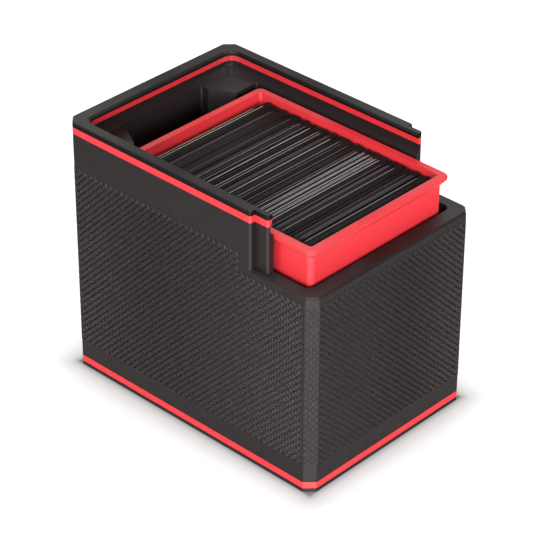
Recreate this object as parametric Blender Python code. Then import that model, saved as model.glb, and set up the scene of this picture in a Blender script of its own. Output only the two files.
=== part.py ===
"""A card deck box: a stepped box with two stripes, a lift-out tray and a row of sleeved cards.

Metres, +Z up. X is the width, Y the length, and the low front is at -Y. The box stands on z = 0.
"""

import math

import bmesh
import bpy

# Box, outside
WIDTH = 0.0850
LENGTH = 0.1227
CORNER = 0.0036  # the flat across each upright corner
HEIGHT = 0.1072  # tall rear section
LOW_HEIGHT = 0.0837  # low front section
STEP_Y = -0.0319  # where the tall section begins
EDGE_ROUND = 0.0008
TOP_BEVEL = 0.0008
RIM_BEVEL = 0.0004
GAP = 0.0001  # between the layers of the box

# Layers, from the floor up
FOOT_TOP = 0.0020
FOOT_INSET = 0.0006
LOWER_STRIPE = 0.0027
LOWER_STRIPE_Z = FOOT_TOP + GAP
SHELL_Z = LOWER_STRIPE_Z + LOWER_STRIPE + GAP
UPPER_STRIPE = 0.0027
UPPER_STRIPE_Z = 0.1025
RIM_Z = UPPER_STRIPE_Z + UPPER_STRIPE + GAP

# Shallow field sunk into the outer walls, where the texture sits
FIELD_DEPTH = 0.0003
FIELD_BOTTOM = 0.0125
FIELD_TOP_FRONT = 0.0805
FIELD_TOP = 0.0886
FIELD_STEP_Y = -0.0266

# Tongues that carry the lid groove past the step
TONGUE_END = -0.0382
TONGUE_INNER = 0.0364
TONGUE_OUTER = 0.0403
TONGUE_ROOT = STEP_Y + 0.0040

# Space inside the box
CAVITY_HALF = 0.0376
CAVITY_FRONT = -0.0551
CAVITY_BACK = 0.0553
CAVITY_TOP = 0.0990
CAVITY_ROUND = 0.0030

# Corner blocks that narrow the dice well behind the tray
BLOCK_FRONT = 0.0422
BLOCK_BEND = 0.0517
BLOCK_HALF_FRONT = 0.0266
BLOCK_HALF_BACK = 0.0213

# Lid groove, as (height, half width, back wall): ledge, floor of the groove, lip, top bevel
GROOVE = (
    (0.0979, 0.0371, 0.0548),
    (0.1000, 0.0391, 0.0573),
    (0.1012, 0.0392, 0.0573),
    (0.1058, 0.0379, 0.0556),
    (0.1064, 0.0379, 0.0557),
    (0.1080, 0.0390, 0.0572),
)
GROOVE_ROUND = 0.0042

# Lift-out tray
TRAY_HALF = 0.0347
TRAY_FRONT = -0.0531
TRAY_BACK = 0.0373
TRAY_BOTTOM = FOOT_TOP + 0.0003
TRAY_TOP = 0.0978
TRAY_FLOOR = 0.0019
TRAY_CORNER = 0.0022
TRAY_INNER_CORNER = 0.0012
LIP = 0.0020
LIP_HEIGHT = 0.0014
LIP_SLOPE = 0.0026
LIP_EDGE = 0.0005
LIP_ROUND = 0.0028
TRAY_WALL = 0.0011

# Cards: stacks of sleeved cards standing on edge, and one bare card behind them
STACKS = 36
STACK_FRONT = -0.0518
STACK_PITCH = 0.00233
STACK_THICKNESS = 0.00223
SLEEVE_WIDTH = 0.0660
SLEEVE_HEIGHT = 0.0912
CARD_FLOOR = TRAY_BOTTOM + TRAY_FLOOR + 0.0003
BARE_WIDTH = 0.0635
BARE_HEIGHT = 0.0884
BARE_THICKNESS = 0.0012
BARE_Y = 0.0348

# Steps in each corner's arc
FINE_RADIUS = 0.0015
FINE_STEPS = 8
COARSE_STEPS = 3

BLACK = ("black_plastic", (0.022, 0.019, 0.020), 0.42)
RED = ("red_plastic", (0.72, 0.018, 0.030), 0.38)
SLEEVE = ("sleeve_film", (0.020, 0.019, 0.021), 0.30)
PAPER = ("card_stock", (0.74, 0.66, 0.56), 0.60)


def clear_scene():
    for thing in list(bpy.data.objects):
        bpy.data.objects.remove(thing, do_unlink=True)


def material(name, finish):
    _, colour, roughness = finish
    made = bpy.data.materials.new(name)
    made.use_nodes = True
    shader = made.node_tree.nodes["Principled BSDF"]
    shader.inputs["Base Color"].default_value = (*colour, 1.0)
    shader.inputs["Roughness"].default_value = roughness
    shader.inputs["Metallic"].default_value = 0.0
    return made


def rounded(corners):
    """Points of a polygon whose corners, given as (x, y, radius), are turned into arcs."""
    points = []
    for i, (x, y, radius) in enumerate(corners):
        steps = FINE_STEPS if radius > FINE_RADIUS else COARSE_STEPS
        before, after = corners[i - 1], corners[(i + 1) % len(corners)]
        ax, ay = before[0] - x, before[1] - y
        bx, by = after[0] - x, after[1] - y
        la, lb = math.hypot(ax, ay), math.hypot(bx, by)
        ax, ay, bx, by = ax / la, ay / la, bx / lb, by / lb
        half = math.acos(max(-1.0, min(1.0, ax * bx + ay * by))) / 2
        reach = radius / math.tan(half)
        mx, my = ax + bx, ay + by
        lm = math.hypot(mx, my)
        cx = x + mx / lm * radius / math.sin(half)
        cy = y + my / lm * radius / math.sin(half)
        start = math.atan2(y + ay * reach - cy, x + ax * reach - cx)
        end = math.atan2(y + by * reach - cy, x + bx * reach - cx)
        turn = (end - start + math.pi) % (2 * math.pi) - math.pi
        for k in range(steps + 1):
            angle = start + turn * k / steps
            points.append((cx + radius * math.cos(angle), cy + radius * math.sin(angle)))
    return points


def mirrored(right_side):
    """A closed outline from the corners of its right half, listed from front to back."""
    return right_side + [(-x, y, radius) for x, y, radius in reversed(right_side)]


def box_outline(inset=0.0, front=-LENGTH / 2):
    """The box's outline: flat corners, or square ones at the front where it begins at the step."""
    half, back = WIDTH / 2 - inset, LENGTH / 2 - inset
    flat = CORNER - inset * (2 - math.sqrt(2))
    side = [(half, back - flat, EDGE_ROUND), (half - flat, back, EDGE_ROUND)]
    if front > -LENGTH / 2:
        return rounded(mirrored([(half, front, EDGE_ROUND)] + side))
    start = front + inset
    corner = [(half - flat, start, EDGE_ROUND), (half, start + flat, EDGE_ROUND)]
    return rounded(mirrored(corner + side))


def rectangle(half, front, back, radius):
    return rounded(mirrored([(half, front, radius), (half, back, radius)]))


def loft(name, rings):
    """A closed body through outlines of equal count, each given with its height."""
    mesh = bpy.data.meshes.new(name)
    shape = bmesh.new()
    loops = [[shape.verts.new((x, y, z)) for x, y in points] for points, z in rings]
    count = len(loops[0])
    for low, high in zip(loops, loops[1:]):
        for i in range(count):
            j = (i + 1) % count
            shape.faces.new((low[i], low[j], high[j], high[i]))
    shape.faces.new(loops[0][::-1])
    shape.faces.new(loops[-1])
    bmesh.ops.recalc_face_normals(shape, faces=shape.faces)
    shape.to_mesh(mesh)
    shape.free()
    made = bpy.data.objects.new(name, mesh)
    bpy.context.scene.collection.objects.link(made)
    return made


def helper(thing):
    """Marks an object as a cutter or filler that isn't a part."""
    thing.hide_render = True
    thing.display_type = "WIRE"
    return thing


def combine(target, other, operation):
    step = target.modifiers.new(f"{operation.lower()} {other.name}", "BOOLEAN")
    step.operation = operation
    step.solver = "EXACT"
    step.object = other


def finish(thing, look):
    thing.data.materials.append(material(f"{thing.name}_{look[0]}", look))
    return thing


def cavity_cutter():
    outline = rounded(
        mirrored(
            [
                (CAVITY_HALF, CAVITY_FRONT, CAVITY_ROUND),
                (CAVITY_HALF, BLOCK_FRONT, EDGE_ROUND),
                (BLOCK_HALF_FRONT, BLOCK_FRONT, EDGE_ROUND),
                (BLOCK_HALF_BACK, BLOCK_BEND, EDGE_ROUND),
                (BLOCK_HALF_BACK, CAVITY_BACK, EDGE_ROUND),
            ]
        )
    )
    return helper(loft("cavity_cutter", [(outline, -0.01), (outline, CAVITY_TOP)]))


def groove_cutter():
    """The lid groove. It runs out past the tongues at the front."""
    rings = [
        (rectangle(half, TONGUE_END - 0.02, back, GROOVE_ROUND), z) for z, half, back in GROOVE
    ]
    return helper(loft("groove_cutter", rings))


def field_cutter(name, low, high, front, inner_front):
    """A ring that sinks the textured field into the walls between two heights."""
    outer, inner = box_outline(-FIELD_DEPTH, front), box_outline(FIELD_DEPTH, inner_front)
    ring = helper(loft(name, [(outer, low), (outer, high)]))
    core = helper(loft(f"{name}_core", [(inner, low - 0.01), (inner, high + 0.01)]))
    combine(ring, core, "DIFFERENCE")
    return ring


def tongue_fillers(name, low, high):
    """The two tongues, reaching back into the wall they continue."""
    made = []
    for side, label in ((-1, "left"), (1, "right")):
        inner, outer = side * TONGUE_INNER, side * TONGUE_OUTER
        outline = rounded(
            [
                (inner, TONGUE_END, EDGE_ROUND),
                (outer, TONGUE_END, EDGE_ROUND),
                (outer, TONGUE_ROOT, EDGE_ROUND),
                (inner, TONGUE_ROOT, EDGE_ROUND),
            ]
        )
        filler = loft(f"{name}_tongue_{label}", [(outline, low), (outline, high)])
        made.append(helper(filler))
    return made


def tall_layer(name, low, high, groove, bevel=0.0):
    """One layer of the tall section: three walls and two tongues round the lid groove."""
    full = box_outline(front=STEP_Y)
    rings = [(full, low), (full, high - bevel)]
    if bevel:
        rings.append((box_outline(inset=bevel, front=STEP_Y), high))
    layer = loft(name, rings)
    for tongue in tongue_fillers(name, low, high):
        combine(layer, tongue, "UNION")
    combine(layer, groove, "DIFFERENCE")
    return layer


def base_plate():
    foot = box_outline(inset=FOOT_INSET)
    full = box_outline()
    return finish(loft("base_plate", [(foot, 0.0), (full, FOOT_INSET), (full, FOOT_TOP)]), BLACK)


def lower_stripe(cavity):
    full = box_outline()
    ring = loft("lower_stripe", [(full, LOWER_STRIPE_Z), (full, LOWER_STRIPE_Z + LOWER_STRIPE)])
    combine(ring, cavity, "DIFFERENCE")
    return finish(ring, RED)


def body_shell(cavity, groove):
    """The low walls all round, and the tall walls that rise from them behind the step."""
    full = box_outline()
    rings = [(full, SHELL_Z), (full, LOW_HEIGHT - TOP_BEVEL)]
    rings.append((box_outline(inset=TOP_BEVEL), LOW_HEIGHT))
    shell = loft("body_shell", rings)
    tall = box_outline(front=STEP_Y)
    top = UPPER_STRIPE_Z - GAP
    riser = helper(loft("tall_walls", [(tall, SHELL_Z + 0.02), (tall, top)]))
    combine(shell, riser, "UNION")
    for tongue in tongue_fillers("body_shell", SHELL_Z + 0.03, top):
        combine(shell, tongue, "UNION")
    start = -LENGTH / 2
    low_field = field_cutter("low_field", FIELD_BOTTOM, FIELD_TOP_FRONT, start, start)
    combine(shell, low_field, "DIFFERENCE")
    high_start = FIELD_TOP_FRONT - FIELD_DEPTH
    high_field = field_cutter("high_field", high_start, FIELD_TOP, FIELD_STEP_Y, start)
    combine(shell, high_field, "DIFFERENCE")
    combine(shell, cavity, "DIFFERENCE")
    combine(shell, groove, "DIFFERENCE")
    return finish(shell, BLACK)


def card_tray():
    lip_half, lip_front, lip_back = TRAY_HALF + LIP, TRAY_FRONT - LIP, TRAY_BACK + LIP
    wall = rectangle(TRAY_HALF, TRAY_FRONT, TRAY_BACK, TRAY_CORNER)
    lip = rectangle(lip_half, lip_front, lip_back, LIP_ROUND)
    top = rectangle(
        lip_half - LIP_EDGE, lip_front + LIP_EDGE, lip_back - LIP_EDGE, LIP_ROUND - LIP_EDGE
    )
    lip_z = TRAY_TOP - LIP_HEIGHT
    rings = [
        (wall, TRAY_BOTTOM),
        (wall, lip_z - LIP_SLOPE),
        (lip, lip_z),
        (lip, TRAY_TOP - LIP_EDGE),
        (top, TRAY_TOP),
    ]
    tray = loft("card_tray", rings)
    inside = rectangle(
        TRAY_HALF - TRAY_WALL, TRAY_FRONT + TRAY_WALL, TRAY_BACK - TRAY_WALL, TRAY_INNER_CORNER
    )
    floor = TRAY_BOTTOM + TRAY_FLOOR
    hollow = helper(loft("tray_cutter", [(inside, floor), (inside, TRAY_TOP + 0.01)]))
    combine(tray, hollow, "DIFFERENCE")
    return finish(tray, RED)


def plate(name, width, thickness, height, look):
    """A stack or a card standing on edge, with its origin at the middle of its lower edge."""
    outline = rectangle(width / 2, 0.0, thickness, 0.0003)
    return finish(loft(name, [(outline, 0.0), (outline, height)]), look)


def cards(parent):
    for i in range(STACKS):
        name = f"card_stack_{i + 1:02d}"
        stack = plate(name, SLEEVE_WIDTH, STACK_THICKNESS, SLEEVE_HEIGHT, SLEEVE)
        stack.parent = parent
        stack.location = (0.0, STACK_FRONT + i * STACK_PITCH, CARD_FLOOR)
    bare = plate("bare_card", BARE_WIDTH, BARE_THICKNESS, BARE_HEIGHT, PAPER)
    bare.parent = parent
    bare.location = (0.0, BARE_Y, CARD_FLOOR)


def build():
    clear_scene()
    cavity, groove = cavity_cutter(), groove_cutter()
    base_plate()
    lower_stripe(cavity)
    body_shell(cavity, groove)
    finish(tall_layer("upper_stripe", UPPER_STRIPE_Z, UPPER_STRIPE_Z + UPPER_STRIPE, groove), RED)
    finish(tall_layer("top_rim", RIM_Z, HEIGHT, groove, RIM_BEVEL), BLACK)
    card_tray()
    lift = bpy.data.objects.new("card_lift", None)
    bpy.context.scene.collection.objects.link(lift)
    cards(lift)


build()
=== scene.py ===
"""Card deck box: looks, detail pieces, floor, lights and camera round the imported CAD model.

Metres, +Z up, the box stands on z = 0 and its low front is at -Y.
"""

import math
import random

import bmesh
import bpy
from mathutils import Matrix, Vector

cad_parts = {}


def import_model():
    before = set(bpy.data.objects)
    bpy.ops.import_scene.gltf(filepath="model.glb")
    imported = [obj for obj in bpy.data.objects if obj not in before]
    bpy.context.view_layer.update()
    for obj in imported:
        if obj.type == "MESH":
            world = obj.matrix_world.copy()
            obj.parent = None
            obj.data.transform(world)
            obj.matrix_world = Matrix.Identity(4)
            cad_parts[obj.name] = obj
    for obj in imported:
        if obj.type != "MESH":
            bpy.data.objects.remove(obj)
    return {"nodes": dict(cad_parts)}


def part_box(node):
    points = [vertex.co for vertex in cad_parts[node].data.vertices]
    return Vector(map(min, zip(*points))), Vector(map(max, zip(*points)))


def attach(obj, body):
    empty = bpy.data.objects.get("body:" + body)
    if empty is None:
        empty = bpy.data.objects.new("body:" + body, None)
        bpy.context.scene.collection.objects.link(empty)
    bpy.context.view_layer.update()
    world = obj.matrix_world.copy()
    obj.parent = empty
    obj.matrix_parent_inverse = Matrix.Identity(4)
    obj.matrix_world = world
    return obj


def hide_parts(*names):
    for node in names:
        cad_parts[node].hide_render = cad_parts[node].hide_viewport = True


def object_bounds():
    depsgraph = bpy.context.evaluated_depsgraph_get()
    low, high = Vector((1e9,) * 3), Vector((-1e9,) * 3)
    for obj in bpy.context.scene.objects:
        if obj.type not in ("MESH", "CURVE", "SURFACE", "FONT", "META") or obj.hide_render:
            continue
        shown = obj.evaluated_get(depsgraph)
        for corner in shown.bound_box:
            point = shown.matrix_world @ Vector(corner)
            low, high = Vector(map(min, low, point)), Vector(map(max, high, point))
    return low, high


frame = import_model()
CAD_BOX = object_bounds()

NODES = frame["nodes"]

# Box outline, from the CAD box, and its cut corners, as in the CAD model
WIDTH, LENGTH = (round(high - low, 6) for low, high in zip(CAD_BOX[0][:2], CAD_BOX[1][:2]))
CORNER = 0.0036

# Textured field, which fills the shallow recess in the outer walls: the recess as in the CAD
# model, the grid of points, how far they stand out from the wall, and the field's edges
FIELD_BOTTOM = 0.0125
FIELD_TOP = 0.0886
FIELD_TOP_FRONT = 0.0805
FIELD_STEP_Y = -0.0266
PEAK_Z = 0.0130
HALF_PERIOD = 0.001372
LONG_STEPS = 84
SHORT_STEPS = 56
FLAT_STEPS = 4
PEAK = 0.00044
VALLEY = -0.00026
FLAT_TOP = 0.36
CORNER_PEAK = 0.00009
CORNER_VALLEY = 0.00001
MARGIN = 0.00003
OVERLAP = 0.00010
SKIRT = 0.00030

# Cards
BUNDLES = 6
STACKS_PER_BUNDLE = 6
SLEEVES_PER_STACK = 3
SLEEVE_FILM = 0.00011
POCKET = 0.0032
CARD_CORE = 0.00031
CARD_HALF = 0.03175
CARD_ROUND = 0.0032
CARD_TURNS = 6
CARD_OVERLAP = 0.0001
SLEEVE_END = 0.0006
SLEEVE_GAP = 0.0003
SUNK_DEPTHS = (0.0011, 0.0019)
FLUSH_DEPTH = 0.00012
LOOSE_DROPS = (0.0004, 0.0, 0.0007)
LOOSE_SHIFTS = (0.0002, -0.0001, 0.0003)
LOOSE_FILL = 0.9

# Cards that reach the mouth of their sleeves: two crowded groups, as parts of the whole row
# from the front, and a few cards elsewhere. Chances go with the kinds, in the same order.
GROUPS = (0.35, 0.63)
GROUP_REACH = 0.07
# How light each kind of card edge is painted: copies of one card stock, darkened as painted shade,
# deepest for faint and sunk cards.
EDGE_SHADE = {"bright": 0.90, "middling": 0.48, "faint": 0.20, "sunk": 0.18}
IN_GROUP = (5, 1, 1, 4)
ELSEWHERE = (1, 2, 6, 40)

# Floor: its own glow, its paint, and the painted contact shadow that darkens it towards the foot
# of the box
FOOT = 0.0006
FLOOR_GLOW = 0.72
FLOOR_PAINT = 0.45
CONTACT_SHADOW_REACH = 0.060
CONTACT_SHADOW_CURVE = (
    (0.0, 0.20),
    (0.006, 0.36),
    (0.018, 0.455),
    (0.035, 0.55),
    (0.060, 0.645),
    (0.093, 0.715),
    (0.143, 0.80),
    (0.213, 0.865),
    (0.30, 0.91),
    (1.0, 1.0),
)

# The glow, a painted pool of light along the box, also fades away sideways, from the first
# distance to the second, down to a remainder
SIDEWAYS = (0.69, -0.72, 0.0)
FADE_FROM = 0.085
FADE_TO = 0.22
FADE_REST = 0.10


def link(obj):
    bpy.context.scene.collection.objects.link(obj)
    return obj


def mesh_object(name, shape):
    mesh = bpy.data.meshes.new(name)
    shape.normal_update()
    shape.to_mesh(mesh)
    shape.free()
    return link(bpy.data.objects.new(name, mesh))


# ---------------------------------------------------------------- materials


class Nodes:
    """A short way to build a node material round one Principled shader."""

    def __init__(self, name):
        self.material = bpy.data.materials.new(name)
        self.material.use_nodes = True
        self.tree = self.material.node_tree
        self.shader = self.tree.nodes["Principled BSDF"]
        self.place = self.add("ShaderNodeTexCoord").outputs["Object"]

    def add(self, kind, **values):
        node = self.tree.nodes.new(kind)
        for key, value in values.items():
            setattr(node, key, value)
        return node

    def join(self, out, into):
        self.tree.links.new(out, into)

    def noise(self, scale, detail=2.0, stretch=(1.0, 1.0, 1.0)):
        spread = self.add("ShaderNodeMapping")
        spread.inputs["Scale"].default_value = stretch
        self.join(self.place, spread.inputs["Vector"])
        node = self.add("ShaderNodeTexNoise")
        node.inputs["Scale"].default_value = scale
        node.inputs["Detail"].default_value = detail
        self.join(spread.outputs["Vector"], node.inputs["Vector"])
        return node.outputs["Fac"]

    def layers(self, pitch):
        """Fine print layers, one every pitch up the height."""
        node = self.add("ShaderNodeTexWave", wave_type="BANDS", bands_direction="Z")
        node.inputs["Scale"].default_value = math.pi / 10.0 / pitch
        node.inputs["Distortion"].default_value = 0.0
        self.join(self.place, node.inputs["Vector"])
        return node.outputs["Fac"]

    def upward(self):
        """How far the surface faces up, from 0 on walls to 1 on tops."""
        parts = self.add("ShaderNodeSeparateXYZ")
        self.join(self.add("ShaderNodeNewGeometry").outputs["Normal"], parts.inputs["Vector"])
        return parts.outputs["Z"]

    def span(self, value, low, high):
        node = self.add("ShaderNodeMapRange")
        node.inputs["From Min"].default_value = 0.3
        node.inputs["From Max"].default_value = 0.7
        node.inputs["To Min"].default_value = low
        node.inputs["To Max"].default_value = high
        self.join(value, node.inputs["Value"])
        return node.outputs["Result"]

    def blend(self, value, dark, light):
        node = self.add("ShaderNodeMix", data_type="RGBA")
        node.inputs["A"].default_value = (*dark, 1.0)
        node.inputs["B"].default_value = (*light, 1.0)
        self.join(self.span(value, 0.0, 1.0), node.inputs["Factor"])
        return node.outputs["Result"]

    def colour(self, value):
        self.join(value, self.shader.inputs["Base Color"])

    def roughness(self, value):
        self.join(value, self.shader.inputs["Roughness"])

    def bumps(self, *heights):
        """Heights as (value, strength, distance in metres), the coarsest first."""
        normal = None
        for value, strength, distance in heights:
            node = self.add("ShaderNodeBump")
            node.inputs["Strength"].default_value = strength
            node.inputs["Distance"].default_value = distance
            self.join(value, node.inputs["Height"])
            if normal is not None:
                self.join(normal, node.inputs["Normal"])
            normal = node.outputs["Normal"]
        self.join(normal, self.shader.inputs["Normal"])


def printed_plastic(name, dark, light, rough, specular, dull_and_shaded_sides=False):
    """Printed plastic: slow colour drift, a fine grain and the layers of the print; with shaded
    sides the walls are duller and painted darker than the tops, as painted shade.
    """
    made = Nodes(name)
    made.shader.inputs["Specular IOR Level"].default_value = specular
    made.shader.inputs["IOR"].default_value = 1.46
    made.shader.inputs["Anisotropic"].default_value = 1.0
    made.shader.inputs["Anisotropic Rotation"].default_value = 0.25
    tangent = made.add("ShaderNodeTangent", direction_type="RADIAL", axis="Z")
    made.join(tangent.outputs["Tangent"], made.shader.inputs["Tangent"])
    grain = made.noise(900.0, 4.0, (1.0, 1.0, 2.0))
    blotches = made.noise(260.0, 3.0)
    # Walls painted darker than tops as painted shade, along with a duller roughness on the walls.
    if dull_and_shaded_sides:
        made.colour(made.blend(made.upward(), dark, light))
        made.roughness(made.span(made.upward(), 0.85, rough))
    else:
        made.colour(made.blend(grain, dark, light))
        made.roughness(made.span(blotches, rough - 0.035, rough + 0.035))
    made.bumps(
        (made.noise(140.0, 2.0), 0.25, 0.00012),
        (made.layers(0.0002), 0.55, 0.000022),
        (made.noise(5200.0, 2.0), 0.35, 0.000018),
    )
    return made.material


def sleeve_film():
    """Thin dark film: smooth, with faint vertical ripples."""
    made = Nodes("look_sleeve_film")
    made.shader.inputs["Specular IOR Level"].default_value = 0.30
    lines = made.noise(1500.0, 3.0, (0.002, 1.0, 0.02))
    made.colour(made.blend(lines, (0.006, 0.0035, 0.004), (0.026, 0.017, 0.018)))
    made.roughness(made.span(made.noise(900.0, 2.0), 0.30, 0.44))
    made.bumps(
        (made.noise(160.0, 2.0, (0.08, 1.0, 0.2)), 0.5, 0.00020),
        (made.noise(2600.0, 2.0), 0.3, 0.00003),
    )
    return made.material


def card_edge(name, dark, light):
    """Cut card stock: short fibres along the edge."""
    made = Nodes(name)
    made.shader.inputs["Specular IOR Level"].default_value = 0.20
    made.colour(made.blend(made.noise(1400.0, 4.0, (0.4, 3.0, 1.0)), dark, light))
    made.roughness(made.span(made.noise(900.0, 2.0), 0.66, 0.82))
    made.bumps((made.noise(6000.0, 2.0, (0.3, 2.0, 1.0)), 0.4, 0.00002),)
    return made.material


def dress(obj, material):
    obj.data.materials.clear()
    obj.data.materials.append(material)


BLACK = printed_plastic(
    "look_black_plastic", (0.0120, 0.0088, 0.0092), (0.0170, 0.0130, 0.0135), 0.40, 0.28
)
# The rim: its walls painted darker than its top, as painted shade.
RIM = printed_plastic(
    "look_rim_plastic_shaded_sides", (0.0040, 0.0024, 0.0025), (0.0140, 0.0108, 0.0112), 0.40, 0.27, True
)
RED = printed_plastic(
    "look_red_plastic", (0.57, 0.026, 0.034), (0.62, 0.032, 0.040), 0.42, 0.55
)
FILM = sleeve_film()
CREAM = card_edge("look_cream_card", (0.62, 0.50, 0.40), (0.76, 0.64, 0.52))


# ---------------------------------------------------------------- textured field


def wall_columns():
    """Places round the outline, each with its way out and whether it is on a corner's flat."""
    half, back = WIDTH / 2, LENGTH / 2
    corners = [
        (half - CORNER, -back),
        (half, -back + CORNER),
        (half, back - CORNER),
        (half - CORNER, back),
        (-half + CORNER, back),
        (-half, back - CORNER),
        (-half, -back + CORNER),
        (-half + CORNER, -back),
    ]
    steps = (FLAT_STEPS, LONG_STEPS, FLAT_STEPS, SHORT_STEPS) * 2
    count = len(corners)
    normals = []
    for i in range(count):
        (ax, ay), (bx, by) = corners[i], corners[(i + 1) % count]
        run = math.hypot(bx - ax, by - ay)
        normals.append(Vector(((by - ay) / run, (ax - bx) / run)))
    columns = []
    for i in range(count):
        here, there = Vector(corners[i]), Vector(corners[(i + 1) % count])
        before, after = normals[i - 1], normals[i]
        fold = (before + after) / (1.0 + before.dot(after))
        on_corner = steps[i] == FLAT_STEPS
        for k in range(steps[i]):
            flat = on_corner or k == 0
            columns.append((here.lerp(there, k / steps[i]), fold if k == 0 else after, flat))
    return columns


def field_points():
    """Each grid point's place on the wall, way out, height above the wall, and if it is a peak."""
    top = round((FIELD_TOP - PEAK_Z) / HALF_PERIOD)
    front_top = round((FIELD_TOP_FRONT - PEAK_Z) / HALF_PERIOD)
    points = {}
    for i, (place, out, flat) in enumerate(wall_columns()):
        high, low = (CORNER_PEAK, CORNER_VALLEY) if flat else (PEAK, VALLEY)
        low_front = place.y < FIELD_STEP_Y - HALF_PERIOD / 2
        beside_step = place.y < FIELD_STEP_Y + HALF_PERIOD / 2
        last = front_top if low_front else top
        for j in range(-1, last + 1):
            y, z = place.y, PEAK_Z + j * HALF_PERIOD
            peak = (i + j) % 2 == 0
            height = high if peak else low
            if j == -1:
                z, height, peak = FIELD_BOTTOM - OVERLAP, MARGIN, False
            elif j == last:
                z = OVERLAP + (FIELD_TOP_FRONT if low_front else FIELD_TOP)
                height, peak = MARGIN, False
            elif beside_step and j >= front_top:
                y, height, peak = FIELD_STEP_Y - OVERLAP, MARGIN, False
            points[i, j] = (Vector((place.x, y, z)), Vector((out.x, out.y, 0.0)), height, peak)
    return points


def textured_field():
    """Rows of small four-sided points with flat tops, set cornerwise, all round the box."""
    points = field_points()
    count = 1 + max(i for i, j in points)
    shape = bmesh.new()
    made = {}

    def corner(spot):
        if spot not in made:
            place, out, height, _ = points[spot]
            made[spot] = shape.verts.new(place + out * height)
        return made[spot]

    def shoulder(spot, towards):
        if (spot, towards) not in made:
            place, out, height, _ = points[spot]
            moved = place.lerp(points[towards][0], FLAT_TOP) + out * height
            made[spot, towards] = shape.verts.new(moved)
        return made[spot, towards]

    def fill(peak, a, b):
        if points[peak][3]:
            shape.faces.new((shoulder(peak, a), corner(a), corner(b), shoulder(peak, b)))
        else:
            shape.faces.new((corner(peak), corner(a), corner(b)))

    for i, j in list(points):
        k = (i + 1) % count
        low, right, far, above = (i, j), (k, j), (k, j + 1), (i, j + 1)
        if not {right, far, above} <= points.keys():
            continue
        if (i + j) % 2 == 0:
            fill(low, right, above)
            fill(far, above, right)
        else:
            fill(right, far, low)
            fill(above, low, far)
    for i, j in list(points):
        around = [((i + 1) % count, j), (i, j + 1), ((i - 1) % count, j), (i, j - 1)]
        if all(((i, j), spot) in made for spot in around):
            shape.faces.new([made[(i, j), spot] for spot in around])
    skirt(shape)
    return mesh_object("wall_texture", shape)


def skirt(shape):
    """Folds the open edges of the field straight into the wall."""
    rim = [edge for edge in shape.edges if len(edge.link_faces) == 1]
    made = bmesh.ops.extrude_edge_only(shape, edges=rim)["geom"]
    half, back = WIDTH / 2, LENGTH / 2
    slant = math.sqrt(0.5)
    reach = half + back - CORNER
    for vert in made:
        if not isinstance(vert, bmesh.types.BMVert):
            continue
        x, y = vert.co.x, vert.co.y
        sx, sy = math.copysign(1.0, x), math.copysign(1.0, y)
        options = [
            (abs(x) - half, Vector((sx, 0.0, 0.0))),
            (abs(y) - back, Vector((0.0, sy, 0.0))),
            ((abs(x) + abs(y) - reach) * slant, Vector((sx * slant, sy * slant, 0.0))),
        ]
        offset, out = max(options, key=lambda option: option[0])
        vert.co -= out * (offset + SKIRT)


# ---------------------------------------------------------------- cards


def sleeve(shape, x, y, z, half, thick, height, lean):
    """One sleeve standing on edge, with an open pocket along its top."""
    film, end = SLEEVE_FILM, SLEEVE_END
    outer = [(-half, 0.0), (half, 0.0), (half, thick), (-half, thick)]
    inner = [
        (-half + end, film),
        (half - end, film),
        (half - end, thick - film),
        (-half + end, thick - film),
    ]
    rings = [(outer, 0.0), (outer, height), (inner, height), (inner, height - POCKET)]
    loops = [
        [
            shape.verts.new((x + px, y + py + lean * (pz / height) ** 2, z + pz))
            for px, py in ring
        ]
        for ring, pz in rings
    ]
    for low, high in zip(loops, loops[1:]):
        for i in range(4):
            j = (i + 1) % 4
            shape.faces.new((low[i], low[j], high[j], high[i]))
    shape.faces.new(loops[0][::-1])
    shape.faces.new(loops[-1])


def card(shape, x, y, z, half, thick, low, top, lean, height):
    """The upper part of a card, with rounded corners, from low up to top."""
    outline = [(-half, low), (half, low)]
    for side in (1, -1):
        turns = range(CARD_TURNS + 1)
        for k in turns if side == 1 else reversed(turns):
            angle = math.radians(90.0 / CARD_TURNS * k)
            outline.append(
                (
                    side * (half - CARD_ROUND + CARD_ROUND * math.cos(angle)),
                    top - CARD_ROUND + CARD_ROUND * math.sin(angle),
                )
            )
    near, far = (
        [
            shape.verts.new((x + px, side + lean * (pz / height) ** 2, z + pz))
            for px, pz in outline
        ]
        for side in (y, y + thick)
    )
    count = len(outline)
    for i in range(count):
        j = (i + 1) % count
        shape.faces.new((near[i], near[j], far[j], far[i])[::-1])
    shape.faces.new(near)
    shape.faces.new(far[::-1])


def shaded_edge_stock(kind):
    """Copies of one card stock, darkened by kind: painted light and shade on the card edges."""
    low = tuple(value * EDGE_SHADE[kind] for value in (0.56, 0.54, 0.56))
    high = tuple(value * EDGE_SHADE[kind] for value in (0.74, 0.72, 0.75))
    return card_edge(f"look_card_edge_painted_shade_{kind}", low, high)


def card_kind(along, picks):
    """Draws how a card stands and how pale it looks, from its place along the row."""
    grouped = min(abs(along - group) for group in GROUPS) < GROUP_REACH
    return picks.choices(list(EDGE_SHADE), IN_GROUP if grouped else ELSEWHERE)[0]


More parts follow.
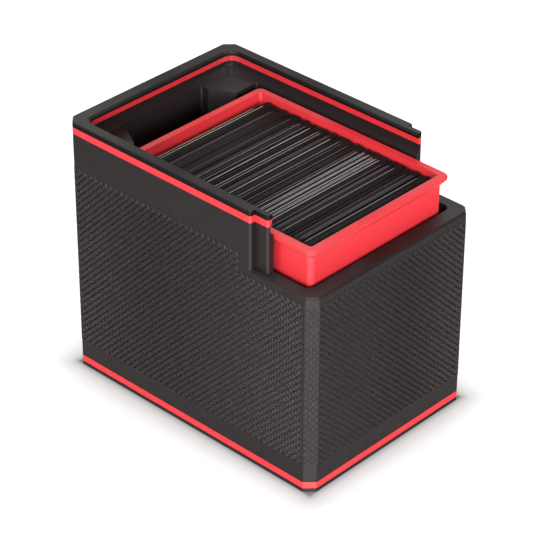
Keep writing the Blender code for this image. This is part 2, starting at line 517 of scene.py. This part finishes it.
def card_bundles():
    chance, picks = random.Random(41), random.Random(7)
    tones = {kind: shaded_edge_stock(kind) for kind in EDGE_SHADE}
    for bundle in range(BUNDLES):
        first = bundle * STACKS_PER_BUNDLE
        names = [f"card_stack_{first + i + 1:02d}" for i in range(STACKS_PER_BUNDLE)]
        front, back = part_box(names[0])[0].y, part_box(names[-1])[1].y
        low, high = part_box(names[0])
        count = STACKS_PER_BUNDLE * SLEEVES_PER_STACK
        pitch = (back - front) / count
        height = high.z - low.z
        films, cores = bmesh.new(), {}
        for i in range(count):
            y = front + i * pitch
            thick = pitch * chance.uniform(0.66, 0.92)
            drop = chance.choice((0.0, 0.0001, 0.0002, 0.0004, 0.0007))
            shift = chance.uniform(-0.00025, 0.00025)
            lean = chance.uniform(-0.00003, 0.00003)
            tall = height - drop
            sleeve(films, shift, y, low.z, high.x - SLEEVE_GAP, thick, tall, lean)
            kind = card_kind((bundle + i / count) / BUNDLES, picks)
            sunk = chance.uniform(*SUNK_DEPTHS)
            depth = sunk if kind == "sunk" else FLUSH_DEPTH
            if kind not in cores:
                cores[kind] = bmesh.new()
            card(
                cores[kind],
                shift + chance.uniform(-0.0006, 0.0006),
                y + (thick - CARD_CORE) / 2,
                low.z,
                CARD_HALF,
                CARD_CORE,
                tall - POCKET + CARD_OVERLAP,
                tall - depth,
                lean,
                tall,
            )
        body = f"cards_{bundle + 1}"
        pieces = mesh_object(f"sleeves_{bundle + 1}", films)
        dress(pieces, FILM)
        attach(pieces, body)
        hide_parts(*names)
        for kind, core in sorted(cores.items()):
            edges = mesh_object(f"card_edges_{bundle + 1}_{kind}", core)
            dress(edges, tones[kind])
            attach(edges, body)


def loose_cards():
    """The unsleeved cards standing against the back wall of the tray."""
    low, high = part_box("bare_card")
    thick = (high.y - low.y) / len(LOOSE_DROPS)
    shape = bmesh.new()
    for i, (drop, shift) in enumerate(zip(LOOSE_DROPS, LOOSE_SHIFTS)):
        card(
            shape,
            shift,
            low.y + i * thick,
            low.z,
            (high.x - low.x) / 2 - SLEEVE_GAP,
            thick * LOOSE_FILL,
            0.0,
            high.z - low.z - drop,
            0.0,
            1.0,
        )
    made = mesh_object("loose_cards", shape)
    dress(made, CREAM)
    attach(made, "bare_card")
    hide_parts("bare_card")


# ---------------------------------------------------------------- room, lights and camera


def floor():
    """A pale glowing floor with a painted contact shadow where it meets the foot of the box, and a
    glow that fades sideways as a painted pool of light.
    """
    shape = bmesh.new()
    bmesh.ops.create_grid(shape, x_segments=1, y_segments=1, size=4.0)
    made = mesh_object("floor", shape)
    pale = Nodes("pale_floor")
    pale.shader.inputs["Specular IOR Level"].default_value = 0.0
    pale.shader.inputs["Emission Color"].default_value = (1.0, 1.0, 1.0, 1.0)
    pale.roughness(pale.span(pale.noise(30.0), 0.85, 0.95))
    beyond = pale.add("ShaderNodeVectorMath", operation="SUBTRACT")
    size = pale.add("ShaderNodeVectorMath", operation="ABSOLUTE")
    pale.join(pale.place, size.inputs[0])
    pale.join(size.outputs["Vector"], beyond.inputs[0])
    beyond.inputs[1].default_value = (WIDTH / 2 - FOOT, LENGTH / 2 - FOOT, 0.0)
    outside = pale.add("ShaderNodeVectorMath", operation="MAXIMUM")
    pale.join(beyond.outputs["Vector"], outside.inputs[0])
    outside.inputs[1].default_value = (0.0, 0.0, 0.0)
    gap = pale.add("ShaderNodeVectorMath", operation="LENGTH")
    pale.join(outside.outputs["Vector"], gap.inputs[0])
    # Painted contact shadow: the floor's glow and colour darken along this curve towards the foot
    # of the box.
    shade = pale.add("ShaderNodeFloatCurve")
    reach = pale.add("ShaderNodeMath", operation="DIVIDE")
    pale.join(gap.outputs["Value"], reach.inputs[0])
    reach.inputs[1].default_value = CONTACT_SHADOW_REACH
    pale.join(reach.outputs["Value"], shade.inputs["Value"])
    curve = shade.mapping.curves[0]
    curve.points[0].location = (0.0, CONTACT_SHADOW_CURVE[0][1])
    curve.points[1].location = (1.0, CONTACT_SHADOW_CURVE[-1][1])
    for at, level in CONTACT_SHADOW_CURVE[1:-1]:
        curve.points.new(at, level)
    shade.mapping.update()
    # Painted pool of light: the floor's glow fades sideways away from the box.
    across = pale.add("ShaderNodeVectorMath", operation="DOT_PRODUCT")
    pale.join(pale.place, across.inputs[0])
    across.inputs[1].default_value = SIDEWAYS
    aside = pale.add("ShaderNodeMath", operation="ABSOLUTE")
    pale.join(across.outputs["Value"], aside.inputs[0])
    fade = pale.add("ShaderNodeMapRange", interpolation_type="SMOOTHSTEP")
    fade.inputs["From Min"].default_value = FADE_FROM
    fade.inputs["From Max"].default_value = FADE_TO
    fade.inputs["To Min"].default_value = 1.0
    fade.inputs["To Max"].default_value = FADE_REST
    pale.join(aside.outputs["Value"], fade.inputs["Value"])
    level = pale.add("ShaderNodeMath", operation="MULTIPLY")
    pale.join(shade.outputs["Value"], level.inputs[0])
    pale.join(fade.outputs["Result"], level.inputs[1])
    glow = pale.add("ShaderNodeMath", operation="MULTIPLY")
    pale.join(level.outputs["Value"], glow.inputs[0])
    glow.inputs[1].default_value = FLOOR_GLOW
    pale.join(glow.outputs["Value"], pale.shader.inputs["Emission Strength"])
    # The painted contact shadow also darkens the floor's colour.
    paint = pale.add("ShaderNodeMix", data_type="RGBA")
    paint.inputs["A"].default_value = (0.0, 0.0, 0.0, 1.0)
    paint.inputs["B"].default_value = (FLOOR_PAINT, FLOOR_PAINT, FLOOR_PAINT, 1.0)
    pale.join(shade.outputs["Value"], paint.inputs["Factor"])
    pale.colour(paint.outputs["Result"])
    dress(made, pale.material)


def world(strength):
    made = bpy.data.worlds.new("studio")
    bpy.context.scene.world = made
    made.use_nodes = True
    sky = made.node_tree.nodes["Background"]
    sky.inputs["Color"].default_value = (1.0, 0.99, 0.985, 1.0)
    sky.inputs["Strength"].default_value = strength


def softbox(name, azimuth, elevation, distance, width, height, radiance):
    """A rectangular light aimed at the box. Azimuth 0 is on the -Y side and -90 on the -X side."""
    a, e = math.radians(azimuth), math.radians(elevation)
    away = Vector((math.sin(a) * math.cos(e), -math.cos(a) * math.cos(e), math.sin(e)))
    data = bpy.data.lights.new(name, "AREA")
    data.shape = "RECTANGLE"
    data.size = width
    data.size_y = height
    data.energy = radiance * width * height * math.pi
    data.color = (1.0, 0.985, 0.97)
    made = link(bpy.data.objects.new(name, data))
    made.location = Vector((0.0, 0.0, 0.06)) + away * distance
    made.rotation_euler = away.to_track_quat("Z", "Y").to_euler()
    made.visible_camera = False


def lights():
    world(0.16)
    softbox("left", -95.0, 22.0, 1.5, 0.5, 0.6, 13.0)
    softbox("front", 3.0, 22.0, 1.5, 0.5, 0.6, 14.0)
    softbox("key", -46.0, 12.0, 1.5, 0.6, 0.6, 16.0)
    softbox("arc", -46.0, 18.0, 1.5, 2.0, 0.5, 3.6)
    softbox("behind", 134.0, 33.0, 1.8, 1.8, 1.3, 1.25)
    softbox("overhead", 150.0, 82.0, 1.6, 0.9, 0.9, 4.0)


def camera():
    data = bpy.data.cameras.new("camera")
    data.lens = 167.74
    data.sensor_width = 36.0
    data.clip_start = 0.05
    data.clip_end = 20.0
    made = link(bpy.data.objects.new("camera", data))
    forward = Vector((0.6087, 0.5793, -0.5421)).normalized()
    right = forward.cross(Vector((0.0, 0.0, 1.0))).normalized()
    up = right.cross(forward)
    turn = Matrix((right, up, -forward)).transposed().to_4x4()
    roll = Matrix.Rotation(math.radians(0.154), 4, "Z")
    made.matrix_world = Matrix.Translation((-0.56196, -0.53401, 0.55123)) @ turn @ roll
    bpy.context.scene.camera = made


def look():
    view = bpy.context.scene.view_settings
    view.view_transform = "Standard"
    view.look = "None"
    view.exposure = 0.0
    view.gamma = 1.0


def build():
    for name in ("base_plate", "body_shell"):
        dress(NODES[name], BLACK)
    dress(NODES["top_rim"], RIM)
    for name in ("lower_stripe", "upper_stripe", "card_tray"):
        dress(NODES[name], RED)
    skin = textured_field()
    dress(skin, BLACK)
    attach(skin, "box")
    card_bundles()
    loose_cards()
    floor()
    lights()
    camera()
    look()


build()
